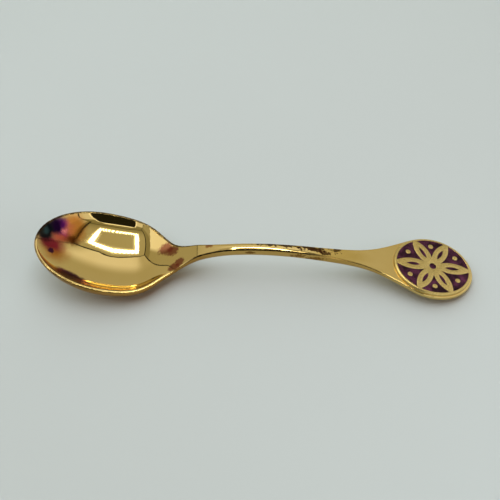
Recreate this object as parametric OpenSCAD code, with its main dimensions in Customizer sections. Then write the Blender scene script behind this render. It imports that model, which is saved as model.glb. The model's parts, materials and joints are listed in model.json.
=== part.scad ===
// Gilt teaspoon with an enamelled oval emblem on its paddle-shaped handle end.
// The spoon lies on a table as it is photographed: +X runs from the bowl to the
// handle's end, +Z is up, and the bowl's back and the handle's end touch z = 0.

/* [Overall] */
// Length from the bowl's tip to the handle's end
spoon_l = 135; // [115:1:160]

/* [Bowl] */
// Width of the bowl over its rim
bowl_w = 30.8; // [26:0.2:36]
// Distance from the tip to the widest place of the bowl
wide_at = 20.8; // [17:0.1:24]
// Distance from the tip to the deepest place of the bowl, where it rests
deep_at = 30; // [27:0.5:33]
// Distance from the tip to where the hollow runs out in the neck
hollow_end = 43.5; // [42:0.1:46]
// Height of the rim at the tip
tip_h = 12.5; // [9:0.1:14]
// Slope of the rim down from the tip, in degrees
tip_slope = 10; // [5:0.5:16]
// Height of the rim at its lowest place, beside the neck
rim_low_h = 4.5; // [4:0.1:5.5]
// Distance from the tip to the lowest place of the rim
rim_low_at = 40.5; // [36:0.5:43]
// Metal under the deepest place of the hollow
floor_t = 1; // [0.8:0.1:1.5]
// Width of the flat land round the rim
rim_land = 0.8; // [0.6:0.05:1.2]
// Radius of the rim's outer edge
rim_r = 0.35; // [0.2:0.05:0.5]

/* [Stem] */
// Width of the stem at its narrowest place
stem_w = 2.75; // [2.2:0.05:4]
// Distance from the tip to the narrowest place of the stem
narrow_at = 62; // [56:0.5:70]
// Thickness of the stem
stem_t = 3.1; // [2.4:0.05:3.6]
// Rise of the stem's upper face from its edges to its middle
stem_crown = 0.25; // [0:0.05:0.4]
// Distance from the tip to the neck, where the stem leaves the bowl
neck_at = 50.5; // [48:0.5:54]
// Height of the stem's upper face at the neck
neck_h = 9.1; // [7:0.1:11]
// Slope of the stem up from the neck into its arch, in degrees
neck_slope = 16; // [10:0.5:22]
// Distance from the tip to where the bowl's back runs out under the stem
root_at = 49.5; // [46:0.5:53]
// Radius of the upper edges of the stem and the paddle
edge_r = 0.4; // [0.2:0.05:0.6]

/* [Paddle] */
// Length of the oval paddle at the handle's end
paddle_l = 25.6; // [23:0.1:31]
// Width of the paddle
paddle_w = 22.6; // [18:0.2:26]
// Thickness of the paddle
paddle_t = 1.9; // [1.4:0.1:2.4]
// Slope of the paddle down to its end, in degrees
paddle_tilt = 10.3; // [6:0.1:14]

/* [Emblem] */
// Margin of the paddle left bare round the emblem's plaque
plaque_margin = 0.45; // [0.4:0.05:1]
// Thickness of the plaque
plaque_t = 0.8; // [0.7:0.05:1.2]
// Bevel of the plaque's upper edge
plaque_bevel = 0.3; // [0.15:0.05:0.5]
// Width of the gold rim round the enamel
gold_rim = 0.85; // [0.6:0.05:1.4]
// Depth of the enamel cells
cell_depth = 0.4; // [0.25:0.05:0.5]
// How far the enamel lies below the gold
enamel_recess = 0.06; // [0.02:0.01:0.12]
// Number of petals in the rosette
petals = 6; // [5:1:8]
// Width of a petal at its middle
petal_w = 4.2; // [3:0.1:4.6]
// Length of the enamel drop in each petal
drop_l = 4.4; // [3:0.1:5]
// Width of the enamel drop
drop_w = 1.1; // [0.8:0.05:1.5]
// Radius of the gold pearl between two petals
pearl_r = 0.8; // [0.5:0.05:1]
// Gap between a pearl and the gold rim
pearl_gap = 1.5; // [1:0.1:2]
// Radius of the enamel eye at the middle
eye_r = 1.1; // [0.7:0.05:1.4]

/* [Hidden] */
$fn = 96;
GILT = "goldenrod";
AUBERGINE = "#482a40";

// Tangent arms of the outline's curves: bowl to neck, stem to paddle
shoulder_arm = 23;
neck_arm = 30;
paddle_arm = 16.5;
// Tangent arm of the flare at the stem, as a share of the flare's length
stem_arm = 0.76;
// Place on the paddle's oval where the stem's flare joins it
join_angle = 60;

// Exponents of the rounded sections: bowl, stem and paddle undersides
bowl_round = 2.7;
stem_round = 3.5;
paddle_round = 6;
// Crown of the paddle's underside, as a share of its thickness, before it is planed flat
back_crown = 1.03;
// Share of an ellipse's half width at which the rim cuts off the hollow's section
hollow_cut = 0.965;
// Power of the bowl's long profile, from an ellipse at 0.5 to a parabola at 1
bowl_run = 0.85;

// Facets of the outline's four curves and of one section
tip_steps = 14;
shoulder_steps = 22;
flare_steps = 18;
end_steps = 16;
under_steps = 22;
round_steps = 3;
hollow_steps = 18;

bowl_half = bowl_w / 2;
stem_half = stem_w / 2;
paddle_a = paddle_l / 2;
paddle_b = paddle_w / 2;
paddle_at = spoon_l - paddle_a;
// The seat's plane starts a little before the paddle's oval
seat_lead = 1;
seat_at = spoon_l - paddle_l - seat_lead;
// Land along the stem and paddle: the rounded edge and a sliver of flat
edge_flat = 0.1;
stem_land = edge_r + edge_flat;
seam = 0.01;

function ramp(x, x0, x1) =
    let (t = max(0, min(1, (x - x0) / (x1 - x0)))) t * t * (3 - 2 * t);
function mix(a, b, t) = a + (b - a) * t;
function bulge(q, n) = pow(max(0, 1 - pow(abs(q), n)), 1 / n);
function hermite(x, x0, x1, z0, z1, s0, s1) =
    let (h = x1 - x0, t = (x - x0) / h)
    (2 * t ^ 3 - 3 * t ^ 2 + 1) * z0 + (t ^ 3 - 2 * t ^ 2 + t) * h * s0
    + (3 * t ^ 2 - 2 * t ^ 3) * z1 + (t ^ 3 - t ^ 2) * h * s1;
function bezier(p, t) =
    (1 - t) ^ 3 * p[0] + 3 * (1 - t) ^ 2 * t * p[1]
    + 3 * (1 - t) * t ^ 2 * p[2] + t ^ 3 * p[3];
function bezier_run(p, t) =
    (1 - t) ^ 2 * (p[1] - p[0]) + 2 * (1 - t) * t * (p[2] - p[1]) + t ^ 2 * (p[3] - p[2]);
function unit(v) = v / norm(v);

// Plan outline of one side as [distance from the tip, half width, tangent]
join = [paddle_at - paddle_a * cos(join_angle), paddle_b * sin(join_angle)];
join_run = unit([paddle_a * sin(join_angle), paddle_b * cos(join_angle)]);
shoulder_curve = [
    [wide_at, bowl_half], [wide_at + shoulder_arm, bowl_half],
    [narrow_at - neck_arm, stem_half], [narrow_at, stem_half]
];
flare_curve = [
    [narrow_at, stem_half], [mix(narrow_at, join[0], stem_arm), stem_half],
    join - paddle_arm * join_run, join
];
outline = concat(
    [for (i = [0 : tip_steps - 1]) let (a = 90 * i / tip_steps)
        [[wide_at * (1 - cos(a)), bowl_half * sin(a)], unit([wide_at * sin(a), bowl_half * cos(a)])]],
    [for (i = [0 : shoulder_steps - 1]) let (t = i / shoulder_steps)
        [bezier(shoulder_curve, t), unit(bezier_run(shoulder_curve, t))]],
    [for (i = [0 : flare_steps - 1]) let (t = i / flare_steps)
        [bezier(flare_curve, t), unit(bezier_run(flare_curve, t))]],
    [for (i = [0 : end_steps]) let (a = mix(join_angle, 180, i / end_steps))
        [[paddle_at - paddle_a * cos(a), paddle_b * sin(a)],
         unit([paddle_a * sin(a), paddle_b * cos(a)])]]
);

// Thickness of the paddle at a place: flat at the back, rounded off to the upper edge at its end
function paddle_under(x) =
    let (q = max(0, x - paddle_at) / paddle_a)
    edge_r + (paddle_t - edge_r) * min(1, back_crown * bulge(q, paddle_round));
// Height of the paddle's upper face at its end, so that its lowest place is at z = 0
end_h = max([for (s = outline) if (s[0][0] > paddle_at)
    paddle_under(s[0][0]) - (spoon_l - s[0][0]) * tan(paddle_tilt)]);
function seat_z(x) = end_h + (spoon_l - x) * tan(paddle_tilt);

// Height of the upper edge along the spoon: rim, neck, arch and paddle
function edge_z(x) =
    x < rim_low_at ? hermite(x, 0, rim_low_at, tip_h, rim_low_h, -tan(tip_slope), 0)
    : x < neck_at ? hermite(x, rim_low_at, neck_at, rim_low_h, neck_h, 0, tan(neck_slope))
    : x < seat_at ? hermite(x, neck_at, seat_at, neck_h, seat_z(seat_at), tan(neck_slope),
        -tan(paddle_tilt))
    : seat_z(x);
function edge_slope(x) = (edge_z(x + seam) - edge_z(x - seam)) / (2 * seam);

function land(x) = mix(rim_land, stem_land, ramp(x, rim_low_at, root_at));
function round_r(x) = mix(rim_r, edge_r, ramp(x, rim_low_at, root_at));
function handle_t(x) = mix(stem_t, paddle_under(x), ramp(x, (narrow_at + seat_at) / 2, seat_at));
function section_round(x) = mix(
    mix(bowl_round, stem_round, ramp(x, deep_at, root_at)),
    paddle_round, ramp(x, narrow_at, paddle_at));
function crown(x) = mix(1, back_crown, ramp(x, narrow_at, seat_at));

// Lowest line of the underside and of the hollow
function keel_z(x) =
    let (q = (deep_at - x) / deep_at)
    x < deep_at ? (tip_h - rim_r) * (1 - pow(1 - q * q, bowl_run))
    : x < root_at ? max(0, hermite(x, deep_at, root_at, 0, edge_z(root_at) - stem_t, 0,
        edge_slope(root_at)))
    : edge_z(x) - handle_t(x);
function hollow_depth(x) =
    let (drop = edge_z(rim_land) - floor_t, q = (deep_at - x) / (deep_at - rim_land))
    x <= rim_land || x >= hollow_end ? 0
    : x < deep_at ? edge_z(x) - edge_z(rim_land) + drop * pow(1 - q * q, bowl_run)
    : edge_z(x) - hermite(x, deep_at, hollow_end, floor_t, edge_z(hollow_end), 0,
        edge_slope(hollow_end));

// Section of the hollow from 0 at the rim to 1 in the middle
function hollow_bulge(u) =
    let (left = sqrt(1 - pow(hollow_cut, 2)))
    (sqrt(1 - pow(hollow_cut * u, 2)) - left) / (1 - left);
// Rise of the stem's upper face over its edges, none at the bowl and the paddle
function stem_rise(x, y, w) =
    stem_crown * ramp(x, neck_at, narrow_at) * (1 - ramp(x, narrow_at, seat_at))
    * (1 - pow(y / max(w, seam), 2));

function rim_point(s, d, side) =
    let (x = s[0][0], r = round_r(x), at = s[0] + d * [s[1][1], -s[1][0]],
        fall = d < r ? r - sqrt(d * (2 * r - d)) : 0)
    [at[0], side * at[1], edge_z(at[0]) - fall + stem_rise(x, at[1], s[0][1])];
function rim_depths(s) =
    let (r = round_r(s[0][0]))
    concat([for (i = [0 : round_steps]) r * (1 - cos(90 * i / round_steps))], [land(s[0][0])]);

// One closed section: underside, far rim, hollow, near rim
function section(s) =
    let (x = s[0][0], w = s[0][1], n = section_round(x), top = edge_z(x) - round_r(x),
        depth = max(0, top - keel_z(x)), rim = rim_depths(s), last = len(rim) - 1,
        inner = s[0] + land(x) * [s[1][1], -s[1][0]], hollow = hollow_depth(inner[0]))
    concat(
        [for (j = [1 : under_steps - 1]) let (a = 180 * j / under_steps)
            [x, -w * sign(cos(a)) * pow(abs(cos(a)), 2 / n),
             top - depth * min(1, crown(x) * pow(sin(a), 2 / n))]],
        [for (i = [0 : last]) rim_point(s, rim[i], 1)],
        [for (j = [1 : hollow_steps - 1]) let (u = cos(180 * j / hollow_steps))
            [inner[0], inner[1] * u,
             edge_z(inner[0]) - hollow * hollow_bulge(u) + stem_rise(x, inner[1] * u, w)]],
        [for (i = [last : -1 : 0]) rim_point(s, rim[i], -1)]
    );

// Skin through the sections; points that fall together at the two ends are one point
module loft(rings) {
    count = len(rings);
    size = len(rings[0]);
    far = under_steps - 1;
    rim = round_steps + 2;
    function centre(j) = j < far ? far : j < far + rim ? j : j < far + rim + hollow_steps - 1
        ? far + rim - 1 : 2 * far + 2 * rim + hollow_steps - 2 - j;
    function at(i, j) = i * size + (i == 0 || i == count - 1 ? centre(j % size) : j % size);
    function real(f) = f[0] != f[1] && f[1] != f[2] && f[2] != f[0];
    faces = [for (i = [0 : count - 2], j = [0 : size - 1])
        for (f = [[at(i, j), at(i + 1, j + 1), at(i, j + 1)],
                  [at(i, j), at(i + 1, j), at(i + 1, j + 1)]])
            if (real(f)) f];
    polyhedron([for (r = rings, p = r) p], faces, convexity = 4);
}

module spoon() {
    color(GILT) translate([-spoon_l / 2, 0, 0]) loft([for (s = outline) section(s)]);
}

// The emblem is drawn flat, then laid on the paddle's sloping seat
plaque_a = paddle_a - plaque_margin;
plaque_b = paddle_b - plaque_margin;
bevel_scale = [1 - plaque_bevel / plaque_a, 1 - plaque_bevel / plaque_b];
field_a = plaque_a - gold_rim;
field_b = plaque_b - gold_rim;
step_angle = 360 / petals;
hub_r = petal_w / 2;
arc_steps = 12;
oval_steps = 96;
function field_r(a) = 1 / norm([cos(a) / field_a, sin(a) / field_b]);
function field_point(a) = field_r(a) * [cos(a), sin(a)];

module on_seat() {
    translate([paddle_at - spoon_l / 2, 0, seat_z(paddle_at)])
        rotate([0, paddle_tilt, 0]) children();
}

module plaque_oval() {
    polygon([for (i = [0 : oval_steps - 1]) let (t = 360 * i / oval_steps)
        [plaque_a * cos(t), plaque_b * sin(t)]]);
}

// Pointed oval between two arcs, from the origin along +X
module vesica(l, w) {
    r = (l * l + w * w) / (4 * w);
    translate([l / 2, 0]) intersection() {
        translate([0, r - w / 2]) circle(r);
        translate([0, w / 2 - r]) circle(r);
    }
}

module petal(k) {
    reach = field_r(k * step_angle) + gold_rim;
    rotate(k * step_angle) vesica(reach, petal_w);
}

module drop_cell(k) {
    a = k * step_angle;
    rotate(a) translate([(field_r(a) + gold_rim - drop_l) / 2, 0]) vesica(drop_l, drop_w);
}

module pearl(k) {
    a = (k + 0.5) * step_angle;
    rotate(a) translate([field_r(a) - pearl_gap - pearl_r, 0]) circle(pearl_r);
}

// Ground between two petals: a sector of the field round the hub, less gold
module ground_cell(k) {
    a = k * step_angle;
    difference() {
        polygon(concat([[0, 0]],
            [for (i = [0 : arc_steps]) field_point(a + i * step_angle / arc_steps)]));
        circle(hub_r);
        petal(k);
        petal(k + 1);
        pearl(k);
    }
}

module eye_cell() {
    circle(eye_r);
}

module cells() {
    for (k = [0 : petals - 1]) {
        ground_cell(k);
        drop_cell(k);
    }
    eye_cell();
}

module enamel() {
    color(AUBERGINE) on_seat() translate([0, 0, plaque_t - cell_depth])
        linear_extrude(cell_depth - enamel_recess) children();
}

// Oval plate with a bevelled upper edge and a cell for each piece of enamel
module emblem_plaque() {
    color(GILT) on_seat() difference() {
        union() {
            linear_extrude(plaque_t - plaque_bevel) plaque_oval();
            translate([0, 0, plaque_t - plaque_bevel])
                linear_extrude(plaque_bevel, slices = 1, scale = bevel_scale) plaque_oval();
        }
        translate([0, 0, plaque_t - cell_depth]) linear_extrude(cell_depth + seam) cells();
    }
}

spoon();
emblem_plaque();
enamel() eye_cell();  // enamel_eye
for (k = [0 : petals - 1]) {
    enamel() ground_cell(k);
    enamel() drop_cell(k);
}
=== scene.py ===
"""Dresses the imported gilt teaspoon: the spoon's body, its emblem plate and the enamel, in one frame."""
import json
import logging
import math
from collections.abc import Callable
from dataclasses import dataclass, field
from enum import Enum
from functools import partial

import bmesh
import bpy
import numpy as np
from mathutils import Matrix, Vector
from mathutils.geometry import delaunay_2d_cdt

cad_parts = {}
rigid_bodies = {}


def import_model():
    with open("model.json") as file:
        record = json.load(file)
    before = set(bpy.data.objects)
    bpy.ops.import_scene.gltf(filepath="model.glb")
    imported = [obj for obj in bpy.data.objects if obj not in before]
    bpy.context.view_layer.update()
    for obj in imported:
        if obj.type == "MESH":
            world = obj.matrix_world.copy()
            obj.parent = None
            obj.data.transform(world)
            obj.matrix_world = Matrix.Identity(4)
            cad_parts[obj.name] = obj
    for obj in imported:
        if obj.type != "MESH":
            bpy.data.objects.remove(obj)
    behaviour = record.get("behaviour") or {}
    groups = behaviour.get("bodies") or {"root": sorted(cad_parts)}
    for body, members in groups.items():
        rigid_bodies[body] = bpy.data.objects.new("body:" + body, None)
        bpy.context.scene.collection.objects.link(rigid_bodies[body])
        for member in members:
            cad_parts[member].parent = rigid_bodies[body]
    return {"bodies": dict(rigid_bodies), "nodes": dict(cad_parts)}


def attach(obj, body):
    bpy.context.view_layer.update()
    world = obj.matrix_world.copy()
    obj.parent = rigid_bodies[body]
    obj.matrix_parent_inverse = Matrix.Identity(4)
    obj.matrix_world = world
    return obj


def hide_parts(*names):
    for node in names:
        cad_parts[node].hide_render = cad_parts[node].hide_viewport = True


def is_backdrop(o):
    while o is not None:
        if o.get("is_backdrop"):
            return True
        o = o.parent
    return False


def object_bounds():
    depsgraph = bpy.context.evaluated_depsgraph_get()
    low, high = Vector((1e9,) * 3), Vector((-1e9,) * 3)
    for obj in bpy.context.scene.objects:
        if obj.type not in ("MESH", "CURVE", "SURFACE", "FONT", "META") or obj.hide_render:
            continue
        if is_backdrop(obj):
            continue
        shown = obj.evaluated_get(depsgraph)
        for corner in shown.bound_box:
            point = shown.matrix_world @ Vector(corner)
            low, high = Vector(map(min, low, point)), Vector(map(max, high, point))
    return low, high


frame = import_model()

LOG = logging.getLogger("teaspoon")
MM = 0.001
BODY = "root"
# the edge mark darkens the far rim, the tip's outer edge and the stem's near edge: a little dirt on the rim, the rest
# painted shade
EDGE_NAME = "edge_dirt_and_shade"
# the near-flank mark lays a warm orange tint on the near outer flank and the underside beside it
FLANK_TINT_NAME = "near_flank_tint"
PHOTO_PX = 500
SLOPE_STEP = 0.01
FLOOR_Z = -0.02 * MM
MERGE_DIST = 0.0002 * MM
THIN_DIST = 0.0001 * MM
SAME_POINT = 1e-7
FIELD_SLACK = 1e-9
PETAL_SLACK = 1e-6
CREASE_ANGLE = math.radians(40)
SHARP_COSINE = math.cos(math.radians(25))
LEAST_SPREAD = 0.6
CORNER_EASE = 0.12

Point2 = tuple[float, float]
Point3 = tuple[float, float, float]
Colour = tuple[float, float, float, float]
Socket = bpy.types.NodeSocket
Tree = bpy.types.NodeTree
Material = bpy.types.Material
Mesh = bpy.types.Mesh
Object = bpy.types.Object


def linear(hex_code: str) -> Colour:
    """Turns an sRGB hex colour to linear light.

    Args:
        hex_code: Colour as #rrggbb.

    Returns:
        Linear red, green and blue, with an alpha of 1.
    """
    parts = [int(hex_code[i:i + 2], 16) / 255 for i in (1, 3, 5)]
    lit = [p / 12.92 if p <= 0.04045 else ((p + 0.055) / 1.055) ** 2.4 for p in parts]
    return (lit[0], lit[1], lit[2], 1.0)


def add_node(tree: Tree, kind: str, inputs: dict | None = None, out: int | str = 0, **settings) -> Socket | None:
    """Adds one node with its settings, its values and its links.

    Args:
        tree: Tree that gets the node.
        kind: Blender's name of the node's type, without ShaderNode in front.
        inputs: Value or source socket for each input, by its name or number.
        out: The output that is wanted, by its name or number.
        settings: Attributes of the node, set before its inputs.

    Returns:
        That output, or None where the node has none.
    """
    node = tree.nodes.new(kind if "Node" in kind else "ShaderNode" + kind)
    for key, value in settings.items():
        setattr(node, key, value)
    for key, value in (inputs or {}).items():
        if isinstance(value, Socket):
            tree.links.new(value, node.inputs[key])
        else:
            node.inputs[key].default_value = value
    return node.outputs[out] if node.outputs else None


def new_material(name: str) -> tuple[Material, Callable]:
    """Starts a material with an empty node tree.

    Args:
        name: Name of the material.

    Returns:
        The material, and add_node for its tree.
    """
    material = bpy.data.materials.new(name)
    material.use_nodes = True
    material.node_tree.nodes.clear()
    return material, partial(add_node, material.node_tree)


def add_object(name: str, data: bpy.types.ID) -> Object:
    """Puts a mesh, a lamp or a camera in the scene.

    Args:
        name: Name of the object.
        data: Its mesh, lamp or camera.

    Returns:
        The object.
    """
    obj = bpy.data.objects.new(name, data)
    bpy.context.scene.collection.objects.link(obj)
    return obj


def finish_piece(name: str, mesh: Mesh, material: Material, nodes: list[str]) -> None:
    """Puts a finished mesh in the scene as a piece that stands for CAD nodes.

    Args:
        name: Name of the piece.
        mesh: Mesh in metres, in the row frame.
        material: Its finish.
        nodes: CAD nodes that it stands for.
    """
    mesh.materials.clear()
    mesh.materials.append(material)
    piece = add_object(name, mesh)
    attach(piece, BODY)
    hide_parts(*nodes)
    LOG.info("%s: %d faces, stands for %s", name, len(mesh.polygons), ", ".join(nodes))


def hermite(x: np.ndarray, x0: float, x1: float, ends: Point2, slopes: Point2) -> np.ndarray:
    """Cubic between two places with given heights and slopes.

    Args:
        x: Places along the spoon.
        x0: First place.
        x1: Second place.
        ends: Heights at the two places.
        slopes: Slopes at the two places.

    Returns:
        Heights at x.
    """
    run = x1 - x0
    t = (x - x0) / run
    return ((2 * t ** 3 - 3 * t ** 2 + 1) * ends[0] + (t ** 3 - 2 * t ** 2 + t) * run * slopes[0]
            + (3 * t ** 2 - 2 * t ** 3) * ends[1] + (t ** 3 - t ** 2) * run * slopes[1])


def ramp(x: np.ndarray, x0: float, x1: float) -> np.ndarray:
    """Smooth step from 0 at x0 to 1 at x1."""
    t = np.clip((x - x0) / (x1 - x0), 0, 1)
    return t * t * (3 - 2 * t)


def mix(a: np.ndarray | float, b: np.ndarray | float, t: np.ndarray | float) -> np.ndarray | float:
    """Blend from a at t = 0 to b at t = 1."""
    return a + (b - a) * t


def turn(p: np.ndarray, angle: float) -> np.ndarray:
    """Turns points about the origin."""
    c, s = math.cos(angle), math.sin(angle)
    return np.c_[p[:, 0] * c - p[:, 1] * s, p[:, 0] * s + p[:, 1] * c]


def thin(p: np.ndarray, count: int) -> np.ndarray:
    """Keeps an even choice of points, with the first and the last."""
    return p[np.linspace(0, len(p) - 1, min(count, len(p))).round().astype(int)]


def oval(a: float, b: float, steps: int, middle: Point2 = (0.0, 0.0)) -> np.ndarray:
    """An oval with half axes a and b as a loop of points, anticlockwise."""
    t = 2 * np.pi * np.arange(steps) / steps
    return np.c_[middle[0] + a * np.cos(t), middle[1] + b * np.sin(t)]


def leaf(x: np.ndarray, length: float, width: float) -> np.ndarray:
    """Half width of a pointed oval at places along its length."""
    radius = (length ** 2 + width ** 2) / (4 * width)
    return np.maximum(0, np.sqrt(np.maximum(0, radius ** 2 - (x - length / 2) ** 2)) - radius + width / 2)


@dataclass(frozen=True)
class Grain:
    """A metal's roughness, and the size and height of its grain in mm."""

    roughness: float
    size: float
    relief: float


class Polish(Enum):
    """How gilt was finished."""

    MIRROR = Grain(0.035, 0.9, 0.0004)
    SATIN = Grain(0.27, 0.12, 0.0022)


@dataclass(frozen=True)
class Stain:
    """One blot on the gilt: its middle and radii in mm, its colour, cover and soft edge, and how far it is broken."""

    middle: Point3
    radii: Point3
    colour: str
    cover: float
    edge: float = 0.55
    broken: float = 0.0


@dataclass(frozen=True)
class GiltFinish:
    """Gold-plated brass: a warm metal whose thin plating tarnishes to brown, purple and blue-black."""

    name: str
    polish: Polish
    tone: str = "#dcc27c"
    deep_tone: str = "#cfb062"
    tone_size: float = 14.0
    grain_span: Point2 = (0.3, 0.7)
    rough_spread: Point2 = (0.8, 1.25)
    stains: tuple[Stain, ...] = ()
    dulling: float = 0.05
    wobble: float = 2.4
    wobble_size: float = 2.0
    fleck_size: float = 0.8
    # warm orange tint for the near flank; dark colour for the edges, a little dirt and mostly painted shade
    near_flank_tint: str = "#a87422"
    flank_tint_cover: float = 0.72
    edge_dirt_shade_colour: str = "#2a1a0c"
    edge_size: float = 1.3
    edge_span: Point2 = (0.3, 0.62)
    edge_least: float = 0.55

    def material(self) -> Material:
        """Builds the gilt as a node material.

        Returns:
            The material.
        """
        material, node = new_material(self.name)
        polish = self.polish.value
        place = node("TexCoord", out="Object")
        # the plating's tone drifts over a centimetre or so
        drift = node("TexNoise", {"Vector": place, "Scale": 1 / (self.tone_size * MM), "Detail": 2.0})
        colour = node("Mix", {"Factor": drift, "A": linear(self.tone), "B": linear(self.deep_tone)}, "Result",
                      data_type="RGBA")
        # fine grain of the polish
        grain = node("TexNoise", {"Vector": place, "Scale": 1 / (polish.size * MM), "Detail": 3.0})
        low, high = self.grain_span
        smooth, coarse = (polish.roughness * part for part in self.rough_spread)
        rough = node("MapRange", {"Value": grain, "From Min": low, "From Max": high, "To Min": smooth,
                                  "To Max": coarse})
        if self.stains:
            colour, rough = self.stain_and_shade(node, place, colour, rough)
        bump = node("Bump", {"Height": grain, "Strength": 0.5, "Distance": polish.relief * MM})
        metal = node("BsdfPrincipled", {"Metallic": 1.0, "Base Color": colour, "Roughness": rough, "Normal": bump})
        node("OutputMaterial", {"Surface": metal})
        return material

    def stain_and_shade(self, node: Callable, place: Socket, colour: Socket, rough: Socket) -> tuple[Socket, Socket]:
        """Lays the stains, a warm orange tint on the near flank, and the dark edges over the clean gilt; the dark
        edges are a little dirt and mostly painted shade.

        Args:
            node: Adds a node to the material's tree.
            place: Place in metres.
            colour: The clean metal's colour.
            rough: The clean metal's roughness.

        Returns:
            The stained colour and roughness.
        """
        noise = node("TexNoise", {"Vector": place, "Scale": 1 / (self.wobble_size * MM), "Detail": 6.0,
                                  "Roughness": 0.7}, "Color")
        centred = node("VectorMath", {0: noise, 1: (0.5, 0.5, 0.5)}, operation="SUBTRACT")
        pushed = node("VectorMath", {0: centred, 1: (self.wobble * MM,) * 3, 2: place}, operation="MULTIPLY_ADD")
        flecks = node("TexNoise", {"Vector": place, "Scale": 1 / (self.fleck_size * MM), "Detail": 3.0})
        layers = []
        for stain in self.stains:
            off = node("VectorMath", {0: pushed, 1: [c * MM for c in stain.middle]}, operation="SUBTRACT")
            share = node("VectorMath", {0: off, 1: [r * MM for r in stain.radii]}, operation="DIVIDE")
            far = node("VectorMath", {0: share}, "Value", operation="LENGTH")
            if stain.broken:
                eaten = node("Math", {0: flecks, 1: -4 * stain.broken, 2: far}, operation="MULTIPLY_ADD")
                far = node("Math", {0: eaten, 1: 2 * stain.broken}, operation="ADD")
            cover = node("MapRange", {"Value": far, "From Min": 1.0, "From Max": 1.0 - stain.edge,
                                      "To Max": stain.cover}, interpolation_type="SMOOTHSTEP")
            rough = node("Math", {0: cover, 1: self.dulling, 2: rough}, operation="MULTIPLY_ADD")
            layers.append((cover, stain.colour))
        # warm orange tint on the near flank, where the mesh marks it
        flank_tint = node("Attribute", out="Fac", attribute_name=FLANK_TINT_NAME)
        layers.append((node("Math", {0: flank_tint, 1: self.flank_tint_cover}, operation="MULTIPLY"), self.near_flank_tint))
        # dark edges in patches: a little dirt, mostly painted shade along the rim, the tip and the stem's edge
        dirt_and_shade_share = node("Attribute", out="Fac", attribute_name=EDGE_NAME)
        patch = node("TexNoise", {"Vector": place, "Scale": 1 / (self.edge_size * MM), "Detail": 3.0})
        low, high = self.edge_span
        thick = node("MapRange", {"Value": patch, "From Min": low, "From Max": high, "To Min": self.edge_least})
        layers.append((node("Math", {0: dirt_and_shade_share, 1: thick}, operation="MULTIPLY"), self.edge_dirt_shade_colour))
        for cover, tone in layers:
            colour = node("Mix", {"Factor": cover, "A": colour, "B": linear(tone)}, "Result", data_type="RGBA")
        return colour, rough


@dataclass(frozen=True)
class EnamelFinish:
    """Soft-fired enamel: dark glass over a metal flake, so it is glossy with a fine purple speckle."""

    name: str = "aubergine_soft_enamel"
    ground: str = "#1e060d"
    fleck: str = "#602c44"
    fleck_size: float = 0.34
    fleck_span: Point2 = (0.17, 0.42)
    cloud_size: float = 2.6
    roughness: float = 0.24
    rough_spread: Point2 = (0.8, 1.3)
    relief: float = 0.01

    def material(self) -> Material:
        """Builds the enamel as a node material.

        Returns:
            The material.
        """
        material, node = new_material(self.name)
        place = node("TexCoord", out="Object")
        # flakes are drawn a little coarser than they are, so that they show in the picture
        fleck = node("TexNoise", {"Vector": place, "Scale": 1 / (self.fleck_size * MM), "Detail": 2.0,
                                  "Roughness": 0.7})
        cloud = node("TexNoise", {"Vector": place, "Scale": 1 / (self.cloud_size * MM), "Detail": 1.0})
        both = node("Math", {0: fleck, 1: cloud}, operation="MULTIPLY")
        low, high = self.fleck_span
        share = node("MapRange", {"Value": both, "From Min": low, "From Max": high})
        tone = node("Mix", {"Factor": share, "A": linear(self.ground), "B": linear(self.fleck)}, "Result",
                    data_type="RGBA")
        smooth, coarse = (self.roughness * part for part in self.rough_spread)
        rough = node("MapRange", {"Value": fleck, "To Min": smooth, "To Max": coarse})
        bump = node("Bump", {"Height": cloud, "Strength": 0.3, "Distance": self.relief * MM})
        glass = node("BsdfPrincipled", {"IOR": 1.5, "Specular IOR Level": 0.1, "Base Color": tone, "Roughness": rough,
                                        "Normal": bump})
        node("OutputMaterial", {"Surface": glass})
        return material


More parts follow.
